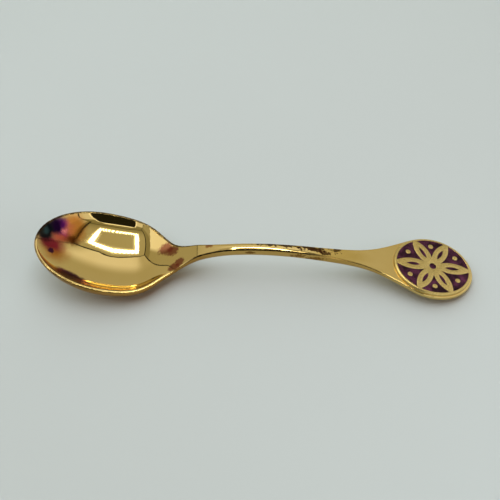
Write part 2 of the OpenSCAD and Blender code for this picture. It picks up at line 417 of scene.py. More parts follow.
@dataclass
class SpoonBody:
    """The spoon's body in mm: bowl, stem and paddle as one loft along its length, x measured from the tip."""

    length: float = 135.0
    bowl_w: float = 30.8
    wide_at: float = 20.8
    deep_at: float = 30.0
    hollow_end: float = 43.5
    tip_h: float = 12.5
    tip_slope: float = 10.0
    rim_low_h: float = 4.5
    rim_low_at: float = 40.5
    floor_t: float = 1.0
    rim_land: float = 0.8
    rim_r: float = 0.35
    stem_w: float = 2.75
    narrow_at: float = 62.0
    stem_t: float = 3.1
    stem_crown: float = 0.25
    neck_at: float = 50.5
    neck_h: float = 9.1
    neck_slope: float = 16.0
    root_at: float = 49.5
    edge_r: float = 0.4
    edge_flat: float = 0.1
    paddle_l: float = 25.6
    paddle_w: float = 22.6
    paddle_t: float = 1.9
    paddle_tilt: float = 10.3
    seat_lead: float = 1.0
    shoulder_arm: float = 23.0
    neck_arm: float = 30.0
    stem_arm: float = 0.76
    paddle_arm: float = 16.5
    join_angle: float = 60.0
    bowl_round: float = 2.7
    stem_round: float = 3.5
    paddle_round: float = 6.0
    back_crown: float = 1.03
    hollow_cut: float = 0.965
    bowl_run: float = 0.85
    solid_end_steps: int = 16
    curve_steps: tuple[int, int, int, int] = (64, 110, 80, 60)
    under_steps: int = 84
    round_steps: int = 6
    land_steps: int = 5
    hollow_steps: int = 96
    lip_reach: int = 4
    lip_passes: int = 5
    # shares for the marks: dark edges, a little dirt on the far rim and painted shade on the rim, the tip's outer
    # edge and the stem's near edge; a warm orange tint on the near flank
    flank_tint_reach: int = 30
    rim_dirt_and_shade: float = 0.9
    tip_edge_shade: float = 0.7
    stem_flank_tint: float = 0.6
    bowl_fade: Point2 = (50.0, 58.0)
    tip_fade: Point2 = (8.0, 28.0)
    stem_start: Point2 = (44.0, 50.0)
    stem_end: Point2 = (82.0, 92.0)
    flank_tint_fade: Point2 = (104.0, 112.0)

    def __post_init__(self) -> None:
        """Works out the sizes that follow from the others."""
        self.paddle_a, self.paddle_b = self.paddle_l / 2, self.paddle_w / 2
        self.paddle_at = self.length - self.paddle_a
        self.seat_at = self.length - self.paddle_l - self.seat_lead
        self.tilt = math.tan(math.radians(self.paddle_tilt))
        angles = np.radians(mix(self.join_angle, 180, np.arange(self.solid_end_steps + 1) / self.solid_end_steps))
        ends = self.paddle_at - self.paddle_a * np.cos(angles)
        ends = ends[ends > self.paddle_at]
        self.end_h = float(np.max(self.paddle_under(ends) - (self.length - ends) * self.tilt))

    def paddle_under(self, x: np.ndarray) -> np.ndarray:
        """Thickness of the paddle at a place, rounded off at its end."""
        bulge = np.maximum(0, 1 - (np.maximum(0, x - self.paddle_at) / self.paddle_a) ** self.paddle_round)
        return mix(self.edge_r, self.paddle_t, np.minimum(1, self.back_crown * bulge ** (1 / self.paddle_round)))

    def seat_z(self, x: np.ndarray | float) -> np.ndarray | float:
        """Height of the paddle's sloping upper face."""
        return self.end_h + (self.length - x) * self.tilt

    def edge_z(self, x: np.ndarray) -> np.ndarray:
        """Height of the upper edge along the spoon: rim, neck, arch and paddle.

        Args:
            x: Places along the spoon.

        Returns:
            Heights there.
        """
        rise = math.tan(math.radians(self.neck_slope))
        drop = -math.tan(math.radians(self.tip_slope))
        rim = hermite(x, 0, self.rim_low_at, (self.tip_h, self.rim_low_h), (drop, 0))
        neck = hermite(x, self.rim_low_at, self.neck_at, (self.rim_low_h, self.neck_h), (0, rise))
        arch = hermite(x, self.neck_at, self.seat_at, (self.neck_h, self.seat_z(self.seat_at)), (rise, -self.tilt))
        return np.select([x < self.rim_low_at, x < self.neck_at, x < self.seat_at], [rim, neck, arch], self.seat_z(x))

    def edge_slope(self, x: float) -> float:
        """Slope of the upper edge at a place."""
        before, after = self.edge_z(np.array([x - SLOPE_STEP, x + SLOPE_STEP]))
        return float((after - before) / (2 * SLOPE_STEP))

    def keel_z(self, x: np.ndarray) -> np.ndarray:
        """Height of the lowest line of the underside.

        Args:
            x: Places along the spoon.

        Returns:
            Heights there.
        """
        q = np.clip((self.deep_at - x) / self.deep_at, 0, 1)
        tip = (self.tip_h - self.rim_r) * (1 - (1 - q * q) ** self.bowl_run)
        root_z = float(self.edge_z(np.array([self.root_at]))[0]) - self.stem_t
        back = hermite(x, self.deep_at, self.root_at, (0, root_z), (0, self.edge_slope(self.root_at)))
        thick = mix(self.stem_t, self.paddle_under(x), ramp(x, (self.narrow_at + self.seat_at) / 2, self.seat_at))
        return np.select([x < self.deep_at, x < self.root_at], [tip, np.maximum(0, back)], self.edge_z(x) - thick)

    def hollow_depth(self, x: np.ndarray) -> np.ndarray:
        """Depth of the hollow below the upper edge.

        Args:
            x: Places along the spoon.

        Returns:
            Depths there.
        """
        start, end = self.edge_z(np.array([self.rim_land, self.hollow_end]))
        q = np.clip((self.deep_at - x) / (self.deep_at - self.rim_land), 0, 1)
        tip = self.edge_z(x) - start + (start - self.floor_t) * (1 - q * q) ** self.bowl_run
        back = self.edge_z(x) - hermite(x, self.deep_at, self.hollow_end, (self.floor_t, end),
                                        (0, self.edge_slope(self.hollow_end)))
        return np.select([x <= self.rim_land, x < self.deep_at, x < self.hollow_end], [0 * x, tip, back], 0 * x)

    def outline(self) -> tuple[np.ndarray, np.ndarray]:
        """Plan outline of one side.

        Returns:
            Places as distance from the tip and half width, and their unit tangents.
        """
        def bezier(p: np.ndarray, count: int) -> tuple[np.ndarray, np.ndarray]:
            """Places and directions along a cubic curve, short of its end.

            Args:
                p: Its four control points.
                count: How many places.

            Returns:
                Places and directions.
            """
            t = (np.arange(count) / count)[:, None]
            at = (1 - t) ** 3 * p[0] + 3 * (1 - t) ** 2 * t * p[1] + 3 * (1 - t) * t ** 2 * p[2] + t ** 3 * p[3]
            run = (1 - t) ** 2 * (p[1] - p[0]) + 2 * (1 - t) * t * (p[2] - p[1]) + t ** 2 * (p[3] - p[2])
            return at, run

        bowl, stem = self.bowl_w / 2, self.stem_w / 2
        a = math.radians(self.join_angle)
        join = np.array([self.paddle_at - self.paddle_a * math.cos(a), self.paddle_b * math.sin(a)])
        way = np.array([self.paddle_a * math.sin(a), self.paddle_b * math.cos(a)])
        way /= np.linalg.norm(way)
        shoulder = np.array([(self.wide_at, bowl), (self.wide_at + self.shoulder_arm, bowl),
                             (self.narrow_at - self.neck_arm, stem), (self.narrow_at, stem)])
        flare = np.array([(self.narrow_at, stem), (mix(self.narrow_at, join[0], self.stem_arm), stem),
                          join - self.paddle_arm * way, join])
        tip_n, shoulder_n, flare_n, end_n = self.curve_steps
        t = np.pi / 2 * np.arange(tip_n) / tip_n
        e = mix(a, np.pi, np.arange(end_n + 1) / end_n)
        parts = [
            (np.c_[self.wide_at * (1 - np.cos(t)), bowl * np.sin(t)],
             np.c_[self.wide_at * np.sin(t), bowl * np.cos(t)]),
            bezier(shoulder, shoulder_n),
            bezier(flare, flare_n),
            (np.c_[self.paddle_at - self.paddle_a * np.cos(e), self.paddle_b * np.sin(e)],
             np.c_[self.paddle_a * np.sin(e), self.paddle_b * np.cos(e)]),
        ]
        at, run = (np.vstack(rows) for rows in zip(*parts))
        at[-1, 1] = 0.0
        return at, run / np.linalg.norm(run, axis=1)[:, None]

    def rings(self) -> np.ndarray:
        """Closed sections along the spoon, with the hollow's lip softened.

        Returns:
            Points in mm as sections by places by xyz.
        """
        at, run = self.outline()
        x, w = at[:, 0], at[:, 1]
        inward = np.c_[run[:, 1], -run[:, 0]]
        blend = ramp(x, self.rim_low_at, self.root_at)
        land = mix(self.rim_land, self.edge_r + self.edge_flat, blend)
        radius = mix(self.rim_r, self.edge_r, blend)
        power = mix(mix(self.bowl_round, self.stem_round, ramp(x, self.deep_at, self.root_at)),
                    self.paddle_round, ramp(x, self.narrow_at, self.paddle_at))
        crown = mix(1, self.back_crown, ramp(x, self.narrow_at, self.seat_at))
        top = self.edge_z(x) - radius
        depth = np.maximum(0, top - self.keel_z(x))
        under = []
        for angle in np.pi * np.arange(1, self.under_steps) / self.under_steps:
            side = -w * np.sign(np.cos(angle)) * np.abs(np.cos(angle)) ** (2 / power)
            under.append(np.c_[x, side, top - depth * np.minimum(1, crown * np.sin(angle) ** (2 / power))])
        insets = [radius * (1 - np.cos(t)) for t in np.pi / 2 * np.arange(self.round_steps + 1) / self.round_steps]
        insets += [mix(radius, land, (i + 1) / self.land_steps) for i in range(self.land_steps)]
        rim = []
        for d in insets:
            spot = at + d[:, None] * inward
            fall = np.where(d < radius, radius - np.sqrt(np.maximum(0, d * (2 * radius - d))), 0)
            rim.append(np.c_[spot, self.edge_z(spot[:, 0]) - fall])
        inner = at + land[:, None] * inward
        deep = self.hollow_depth(inner[:, 0])
        hollow = []
        left_off = math.sqrt(1 - self.hollow_cut ** 2)
        for u in np.cos(np.pi * np.arange(1, self.hollow_steps) / self.hollow_steps):
            bulge = (math.sqrt(1 - (self.hollow_cut * u) ** 2) - left_off) / (1 - left_off)
            hollow.append(np.c_[inner[:, 0], inner[:, 1] * u, self.edge_z(inner[:, 0]) - deep * bulge])
        near = [p * (1, -1, 1) for p in reversed(rim)]
        rings = np.stack(under + rim + hollow + near, axis=1)
        rise = self.stem_crown * ramp(x, self.neck_at, self.narrow_at) * (1 - ramp(x, self.narrow_at, self.seat_at))
        upper = rings[:, len(under):]
        upper[..., 2] += rise[:, None] * (1 - (upper[..., 1] / np.maximum(w, 0.01)[:, None]) ** 2)
        lip = len(under) + len(rim) - 1
        for corner in (lip, lip + self.hollow_steps):
            first, last = corner - self.lip_reach, corner + self.lip_reach + 1
            for _ in range(self.lip_passes):
                sides = rings[:, first - 1:last - 1] + rings[:, first + 1:last + 1]
                rings[:, first:last] = rings[:, first:last] / 2 + sides / 4
        return rings

    def marks(self, rings: np.ndarray) -> dict[str, np.ndarray]:
        """Where the gilt is marked: dark edges along the far rim, the tip and the stem, a little dirt and mostly
        painted shade, and a warm orange tint on the near flank.

        Args:
            rings: Sections of the body.

        Returns:
            One share for each point, by the mark's name.
        """
        dirt_and_shade, flank_tint = np.zeros((2, *rings.shape[:2]))
        x = rings[:, :, 0]
        far = self.under_steps - 1
        land = self.round_steps + 1 + self.land_steps
        near = far + land + self.hollow_steps - 1
        edge = near + land - 1 - self.round_steps
        bowl = 1 - ramp(x, *self.bowl_fade)
        tip = self.tip_edge_shade * (1 - ramp(x, *self.tip_fade))
        stem = ramp(x, *self.stem_start) * (1 - ramp(x, *self.stem_end))
        # far rim and its land: a little dirt, mostly painted shade over the rim's bright reflection
        dirt_and_shade[:, far - 1:far + land + 2] = self.rim_dirt_and_shade * bowl[:, far - 1:far + land + 2]
        # the tip's outer edge on the near side and the underside beside it: painted shade
        dirt_and_shade[:, near + 4:] = tip[:, near + 4:]
        dirt_and_shade[:, :2] = tip[:, :2]
        # the stem's near edge, where its top and side meet: painted shade
        dirt_and_shade[:, edge:edge + 6] = np.maximum(dirt_and_shade, stem)[:, edge:edge + 6]
        depth = 1 - ramp(np.arange(self.flank_tint_reach), 0.5 * self.flank_tint_reach, self.flank_tint_reach)
        flank = bowl + self.stem_flank_tint * (1 - bowl) * (1 - ramp(x, *self.flank_tint_fade))
        # warm orange tint under the near edge and on the near flank outside the crest
        flank_tint[:, :self.flank_tint_reach] = flank[:, :self.flank_tint_reach] * depth
        flank_tint[:, edge + 3:] = flank[:, edge + 3:]
        return {EDGE_NAME: dirt_and_shade.reshape(-1), FLANK_TINT_NAME: flank_tint.reshape(-1)}

    def build(self, finish: GiltFinish, box: list[list[float]]) -> None:
        """Makes the spoon's body as one closed mesh.

        Args:
            finish: Its gilt.
            box: The solid's box in metres, which it keeps inside.
        """
        rings = self.rings()
        count, size, _ = rings.shape
        points = np.clip((rings.reshape(-1, 3) - np.array([self.length / 2, 0, 0])) * MM, *box)
        faces = [(i * size + j, (i + 1) * size + j, (i + 1) * size + (j + 1) % size, i * size + (j + 1) % size)
                 for i in range(count - 1) for j in range(size)]
        mesh = bpy.data.meshes.new("spoon_body")
        mesh.from_pydata(points.tolist(), [], faces)
        for name, share in self.marks(rings).items():
            mesh.attributes.new(name, "FLOAT", "POINT").data.foreach_set("value", share)
        close_mesh(mesh)
        finish_piece("spoon_body", mesh, finish.material(), ["spoon"])


def close_mesh(mesh: Mesh) -> None:
    """Merges points that fall together, turns the faces outwards and smooths them.

    Args:
        mesh: Mesh to close.
    """
    bm = bmesh.new()
    bm.from_mesh(mesh)
    bmesh.ops.remove_doubles(bm, verts=bm.verts, dist=MERGE_DIST)
    bmesh.ops.dissolve_degenerate(bm, edges=bm.edges, dist=THIN_DIST)
    bmesh.ops.recalc_face_normals(bm, faces=bm.faces)
    open_edges = sum(1 for e in bm.edges if len(e.link_faces) != 2)
    if open_edges:
        LOG.warning("%s has %d open edges", mesh.name, open_edges)
    for face in bm.faces:
        face.smooth = True
    bm.to_mesh(mesh)
    bm.free()


@dataclass
class FlatWork:
    """Loops of points drawn on a flat seat, and the faces between them."""

    points: list[Point3] = field(default_factory=list)
    faces: list[tuple[int, ...]] = field(default_factory=list)

    def stack(self, layers: list[tuple[np.ndarray, float]]) -> tuple[list[int], list[int]]:
        """Adds loops of the same count at their heights, and quads between them.

        Args:
            layers: Each loop's points on the seat and its height over it, in mm.

        Returns:
            Point numbers of the first and of the last loop.
        """
        count = len(layers[0][0])
        rings = []
        for loop, z in layers:
            rings.append(list(range(len(self.points), len(self.points) + count)))
            self.points += [(float(u), float(v), z) for u, v in loop]
        for first, second in zip(rings, rings[1:]):
            self.faces += [(first[i], first[(i + 1) % count], second[(i + 1) % count], second[i])
                           for i in range(count)]
        return rings[0], rings[-1]

    def fill(self, rings: list[list[int]]) -> None:
        """Fills the area inside the first ring and outside the others.

        Args:
            rings: Point numbers of the outer ring and of each hole.
        """
        numbers = [n for ring in rings for n in ring]
        flat = np.array([self.points[n][:2] for n in numbers])
        starts = np.cumsum([0] + [len(ring) for ring in rings])
        edges = [(a + i, a + (i + 1) % (b - a)) for a, b in zip(starts, starts[1:]) for i in range(b - a)]
        _, _, triangles, origin, _, _ = delaunay_2d_cdt([Vector(p) for p in flat], edges, [], 0, SAME_POINT)
        corners = np.array([[origin[i][0] for i in triangle] for triangle in triangles])
        middles = flat[corners].mean(axis=1)[:, None]
        first, second = flat[[e[0] for e in edges]], flat[[e[1] for e in edges]]
        crossed = (first[:, 1] > middles[..., 1]) != (second[:, 1] > middles[..., 1])
        rise = np.where(second[:, 1] == first[:, 1], 1, second[:, 1] - first[:, 1])
        at = first[:, 0] + (middles[..., 1] - first[:, 1]) * (second[:, 0] - first[:, 0]) / rise
        inside = (crossed & (middles[..., 0] < at)).sum(axis=1) % 2 == 1
        self.faces += [tuple(numbers[i] for i in triangle) for triangle in corners[inside]]

    def mesh(self, name: str, seat: Matrix) -> Mesh:
        """Makes the mesh on its seat.

        Args:
            name: Name of the mesh.
            seat: Place of the seat in metres.

        Returns:
            The mesh.
        """
        mesh = bpy.data.meshes.new(name)
        mesh.from_pydata([tuple(c * MM for c in p) for p in self.points], [], self.faces)
        mesh.transform(seat)
        close_mesh(mesh)
        mesh.set_sharp_from_angle(angle=CREASE_ANGLE)
        return mesh


def offset(loop: np.ndarray, by: float) -> np.ndarray:
    """Moves a closed loop sideways, to its left where by is positive, and less near a sharp corner there.

    Args:
        loop: Points of the loop.
        by: Distance in mm.

    Returns:
        The moved points.
    """
    after = np.roll(loop, -1, axis=0) - loop
    gaps = np.linalg.norm(after, axis=1)
    after /= gaps[:, None]
    before = np.roll(after, 1, axis=0)
    left = np.c_[-after[:, 1] - before[:, 1], after[:, 0] + before[:, 0]]
    left /= np.linalg.norm(left, axis=1)[:, None]
    spread = np.maximum(LEAST_SPREAD, left[:, 0] * -after[:, 1] + left[:, 1] * after[:, 0])
    reach = np.full(len(loop), by) / spread
    sharp = np.flatnonzero((after * before).sum(axis=1) < SHARP_COSINE)
    if by > 0 and len(sharp):
        along = np.cumsum(gaps) - gaps
        apart = np.abs(along[:, None] - along[sharp])
        apart = np.minimum(apart, gaps.sum() - apart).min(axis=1)
        reach = np.minimum(reach, CORNER_EASE * apart)
    return loop + left * reach[:, None]


@dataclass
class Emblem:
    """The oval emblem in mm: a gold plate with a rosette of cells, and the enamel that fills them."""

    spoon: SpoonBody
    margin: float = 0.45
    plate_t: float = 0.8
    flank_w: float = 0.5
    flank_h: float = 0.62
    gold_rim: float = 0.85
    cell_depth: float = 0.4
    recess: float = 0.06
    lip: float = 0.07
    petals: int = 6
    petal_w: float = 4.2
    drop_l: float = 4.4
    drop_w: float = 1.1
    pearl_r: float = 0.8
    pearl_gap: float = 1.5
    eye_r: float = 1.1
    oval_steps: int = 192
    arc_steps: int = 48
    fine_steps: int = 1201
    flank_steps: int = 8
    lip_steps: int = 3
    meniscus: float = 0.09
    least_gap: float = 0.02
    slot: str = "aubergine_enamel"

    def __post_init__(self) -> None:
        """Works out the ovals and the seat on the paddle."""
        self.plate_a, self.plate_b = self.spoon.paddle_a - self.margin, self.spoon.paddle_b - self.margin
        self.field_a, self.field_b = self.plate_a - self.gold_rim, self.plate_b - self.gold_rim
        self.step = 2 * math.pi / self.petals
        self.hub_r = self.petal_w / 2
        place = Vector((self.spoon.paddle_at - self.spoon.length / 2, 0, self.spoon.seat_z(self.spoon.paddle_at)))
        self.seat_place = place * MM
        self.seat_turn = math.radians(self.spoon.paddle_tilt)
        self.seat = Matrix.Translation(self.seat_place) @ Matrix.Rotation(self.seat_turn, 4, "Y")

    def field_r(self, angle: float) -> float:
        """Distance from the middle to the field's edge at an angle."""
        return 1 / math.hypot(math.cos(angle) / self.field_a, math.sin(angle) / self.field_b)

    def petal_l(self, k: int) -> float:
        """Length of a petal, which ends on the plate's rim."""
        return self.field_r(k * self.step) + self.gold_rim

    def petal_side(self, k: int, side: int) -> np.ndarray:
        """Places along the left side of a petal, or the right where side is -1."""
        x = self.petal_l(k) * np.linspace(0, 1, self.fine_steps)
        return turn(np.c_[x, side * leaf(x, self.petal_l(k), self.petal_w)], k * self.step)

    def in_petal(self, k: int, p: np.ndarray) -> np.ndarray:
        """Whether places lie inside a petal."""
        x, y = turn(p, -k * self.step).T
        return (np.abs(y) < leaf(x, self.petal_l(k), self.petal_w) - PETAL_SLACK) & (x > 0) & (x < self.petal_l(k))

    def ground_loops(self, k: int) -> list[np.ndarray]:
        """Edge of the enamel between two petals, and of the pearl in it.

        Args:
            k: Number of the first petal.

        Returns:
            The outer loop, anticlockwise, and the pearl's, clockwise.
        """
        sweep = (k + np.linspace(0, 1, self.fine_steps)) * self.step
        way = np.c_[np.cos(sweep), np.sin(sweep)]
        arc = way * np.array([self.field_r(a) for a in sweep])[:, None]
        ways = []
        for line, petals, count, order in ((self.petal_side(k, 1), [k + 1], self.arc_steps, 1),
                                           (arc, [k, k + 1], self.arc_steps, 1),
                                           (self.petal_side(k + 1, -1), [k], self.arc_steps, -1),
                                           (self.hub_r * way, [k, k + 1], self.arc_steps // 4, -1)):
            keep = (line[:, 0] / self.field_a) ** 2 + (line[:, 1] / self.field_b) ** 2 <= 1 + FIELD_SLACK
            keep &= np.hypot(line[:, 0], line[:, 1]) >= self.hub_r - FIELD_SLACK
            for petal in petals:
                keep &= ~self.in_petal(petal, line)
            ways.append(thin(line[keep], count)[::order])
        loop = np.vstack(ways)
        gap = np.linalg.norm(np.roll(loop, -1, axis=0) - loop, axis=1)
        middle = (k + 0.5) * self.step
        far = self.field_r(middle) - self.pearl_gap - self.pearl_r
        pearl = oval(self.pearl_r, self.pearl_r, self.arc_steps, (far * math.cos(middle), far * math.sin(middle)))
        return [loop[gap > self.least_gap], pearl[::-1]]

    def drop_loop(self) -> np.ndarray:
        """Edge of a drop from the origin along +X, anticlockwise.

        Returns:
            Points.
        """
        x = self.drop_l * np.linspace(0, 1, self.arc_steps)
        side = np.c_[x, leaf(x, self.drop_l, self.drop_w)]
        return np.vstack([side[:-1] * (1, -1), side[:0:-1]])

    def cell_wall(self, work: FlatWork, loop: np.ndarray) -> tuple[list[int], list[int]]:
        """Draws the rounded lip and the wall of one cell in the plate.

        Args:
            work: Plate's flat work.
            loop: Cell's edge with the cell on its left.

        Returns:
            Rings at the top of the lip and at the cell's floor.
        """
        turns = [math.pi / 2 * i / self.lip_steps for i in range(self.lip_steps + 1)]
        lip = [(offset(loop, -self.lip * (1 - math.sin(a))), self.plate_t - self.lip * (1 - math.cos(a)))
               for a in turns]
        return work.stack(lip + [(loop, self.plate_t - self.cell_depth)])

    def build_plate(self, finish: GiltFinish) -> None:
        """Makes the gold plate with its rounded flank and its cells.

        Args:
            finish: Its gilt.
        """
        work = FlatWork()
        flank = [(0.0, 0.0)]
        for a in (math.pi / 2 * i / self.flank_steps for i in range(self.flank_steps + 1)):
            flank.append((self.flank_w * (1 - math.cos(a)), self.plate_t - self.flank_h * (1 - math.sin(a))))
        base, rim = work.stack([(oval(self.plate_a - d, self.plate_b - d, self.oval_steps), z) for d, z in flank])
        work.fill([base])
        holes = []
        for k in range(self.petals):
            ground, pearl = [self.cell_wall(work, loop) for loop in self.ground_loops(k)]
            work.fill([ground[1], pearl[1]])
            work.fill([pearl[0]])
            start = (self.petal_l(k) - self.drop_l) / 2
            drop = self.cell_wall(work, turn(self.drop_loop() + np.array([start, 0]), k * self.step))
            work.fill([drop[1]])
            holes += [ground[0], drop[0]]
        eye = self.cell_wall(work, oval(self.eye_r, self.eye_r, self.arc_steps))
        work.fill([eye[1]])
        work.fill([rim] + holes + [eye[0]])
        mesh = work.mesh("emblem_plate", self.seat)
        finish_piece("emblem_plate", mesh, finish.material(), ["emblem_plaque"])

    def enamel_mesh(self, name: str, loops: list[np.ndarray], seat: Matrix) -> Mesh:
        """Makes one filling that climbs a little at the cell's wall.

        Args:
            name: Name of the mesh.
            loops: Its edge, and that of a hole, with the enamel on the left.
            seat: Where it lies.

        Returns:
            The mesh.
        """
        work = FlatWork()
        climb = ((0.0, self.cell_depth), (0.0, self.recess / 3), (self.meniscus / 3, self.recess * 0.75),
                 (self.meniscus, self.recess))
        rings = [work.stack([(offset(loop, d) if d else loop, self.plate_t - fall) for d, fall in climb])
                 for loop in loops]
        work.fill([top for _, top in rings])
        work.fill([floor for floor, _ in rings])
        return work.mesh(name, seat)

    def build_enamel(self, finish: EnamelFinish) -> None:
        """Makes the enamel: one piece for each ground and the eye, and the drops together.

        Args:
            finish: Its enamel.
        """
        material = finish.material()
        fills = [(f"enamel_field_{k + 1}", self.ground_loops(k), f"enamel_ground_{k + 1}")
                 for k in range(self.petals)]
        fills.append(("enamel_middle", [oval(self.eye_r, self.eye_r, self.arc_steps)], "enamel_eye"))
        for name, loops, node in fills:
            finish_piece(name, self.enamel_mesh(name, loops, self.seat), material, [node])
        mesh = self.spread_drops(self.enamel_mesh("drop", [self.drop_loop()], Matrix.Identity(4)), material)
        names = [f"enamel_drop_{k + 1}" for k in range(self.petals)]
        finish_piece("enamel_petal_drops", mesh, material, names)

    def spread_drops(self, drop: Mesh, material: Material) -> Mesh:
        """Sets one drop in each petal with Geometry Nodes.

        Args:
            drop: One drop, from the origin along +X.
            material: Its enamel.

        Returns:
            A plain mesh of all the drops on their seat.
        """
        tree = bpy.data.node_groups.new("drops_in_petals", "GeometryNodeTree")
        for way in ("INPUT", "OUTPUT"):
            tree.interface.new_socket("Geometry", in_out=way, socket_type="NodeSocketGeometry")
        holder = add_object("drop_holder", drop)
        modifier = holder.modifiers.new("drops", "NODES")
        modifier.node_group = tree
        for name, kind, value in (
                ("Petals", "Int", self.petals), ("Spare length", "Float", (self.gold_rim - self.drop_l) * MM),
                ("Field half sizes", "Vector", (self.field_a * MM, self.field_b * MM, 1.0)),
                ("Seat place", "Vector", tuple(self.seat_place)), ("Seat turn", "Vector", (0.0, self.seat_turn, 0.0)),
                ("Enamel", "Material", material)):
            socket = tree.interface.new_socket(name, in_out="INPUT", socket_type="NodeSocket" + kind)
            modifier[socket.identifier] = value
        node = partial(add_node, tree)
        given = tree.nodes.new("NodeGroupInput").outputs
        part = node("Math", {0: node("GeometryNodeInputIndex"), 1: given["Petals"]}, operation="DIVIDE")
        angle = node("Math", {0: part, 1: 2 * math.pi}, operation="MULTIPLY")
        way = node("CombineXYZ", {"X": node("Math", {0: angle}, operation="COSINE"),
                                  "Y": node("Math", {0: angle}, operation="SINE")})
        share = node("VectorMath", {0: way, 1: given["Field half sizes"]}, operation="DIVIDE")
        norm = node("VectorMath", {0: share}, "Value", operation="LENGTH")
        reach = node("Math", {0: 1.0, 1: norm}, operation="DIVIDE")
        spare = node("Math", {0: reach, 1: given["Spare length"]}, operation="ADD")
        start = node("Math", {0: spare, 1: 2.0}, operation="DIVIDE")
        place = node("VectorMath", {0: way, "Scale": start}, operation="SCALE")
        spots = node("GeometryNodePoints", {"Count": given["Petals"], "Position": place})
        copies = node("GeometryNodeInstanceOnPoints", {"Points": spots, "Instance": given["Geometry"],
                                                       "Rotation": node("CombineXYZ", {"Z": angle})})
        laid = node("GeometryNodeTransform", {"Geometry": copies, "Translation": given["Seat place"],
                                              "Rotation": given["Seat turn"]})
        real = node("GeometryNodeRealizeInstances", {"Geometry": laid})
        dressed = node("GeometryNodeSetMaterial", {"Geometry": real, "Material": given["Enamel"]})
        node("NodeGroupOutput", {"Geometry": dressed})
        mesh = bpy.data.meshes.new_from_object(holder.evaluated_get(bpy.context.evaluated_depsgraph_get()))
        mesh.name = "enamel_petal_drops"
        holder.modifiers.remove(modifier)
        bpy.data.objects.remove(holder)
        return mesh


@dataclass(frozen=True)
class ClothFinish:
    """White tent cloth lit from behind: an even glow, or one that changes along an axis; dim cloth looks warmer.

    The span is where it changes, in mm. A fade is where the second level is lost, in mm from the middle along X.
    """

    name: str
    levels: Point2
    span: Point2 = (0.0, 1.0)
    axis: str = "Z"
    fade: Point2 | None = None
    faded: float = 0.2
    dim: float = 0.3
    dim_tint: Point2 = (0.95, 0.66)
    white_tint: Point2 = (1.0, 1.12)

    def material(self) -> Material:
        """Builds the cloth as a node material.

        Returns:
            The material.
        """
        material, node = new_material(self.name)
        place = node("TexCoord", out="Object")
        low, high = (end * MM for end in self.span)
        share = node("MapRange", {"Value": node("SeparateXYZ", {0: place}, self.axis), "From Min": low,
                                  "From Max": high}, interpolation_type="SMOOTHSTEP")
        if self.fade:
            far = node("Math", {0: node("SeparateXYZ", {0: place}, "X")}, operation="ABSOLUTE")
            low, high = (end * MM for end in self.fade)
            left = node("MapRange", {"Value": far, "From Min": low, "From Max": high, "To Min": 1.0,
                                     "To Max": self.faded}, interpolation_type="SMOOTHSTEP")
            share = node("Math", {0: share, 1: left}, operation="MULTIPLY")
        ends = []
        for level in self.levels:
            white = min(1.0, max(0.0, (level - self.dim) / (1 - self.dim)))
            green, blue = (level * mix(a, b, white) for a, b in zip(self.dim_tint, self.white_tint))
            ends.append((level, green, blue, 1.0))
        light = node("Mix", {"Factor": share, "A": ends[0], "B": ends[1]}, "Result", data_type="RGBA")
        node("OutputMaterial", {"Surface": node("Emission", {"Color": light})})
        return material


@dataclass(frozen=True)
class BeadFinish:
    """Lamp strip: bright beads along U that end softly across V; with a swing below 1 they run into each other."""

    name: str
    swing: float
    peak: float
    edge: float
    cloth: float

    def material(self) -> Material:
        """Builds the strip as a node material.

        Returns:
            The material.
        """
        material, node = new_material(self.name)
        place = node("TexCoord", out="UV")
        along, across = (node("SeparateXYZ", {0: place}, axis) for axis in "XY")
        wave = node("Math", {0: node("Math", {0: along, 1: 2 * math.pi}, operation="MULTIPLY")}, operation="COSINE")
        half = self.swing / 2
        swing = node("Math", {0: wave, 1: half, 2: 1 - half}, operation="MULTIPLY_ADD")
        square = node("Math", {0: across, 1: across}, operation="MULTIPLY")
        body = node("Math", {0: swing, 1: square}, operation="SUBTRACT")
        light = node("MapRange", {"Value": body, "From Max": self.edge, "To Min": self.cloth, "To Max": self.peak},
                     interpolation_type="SMOOTHSTEP")
        node("OutputMaterial", {"Surface": node("Emission", {"Strength": light})})
        return material


class Side(Enum):
    """Flat sides of the tent, and the place of the low card outside it."""

    CEILING = "ceiling"
    BACK = "back"
    FRONT = "front"
    LEFT = "left"
    RIGHT = "right"
    OUTSIDE = "outside"


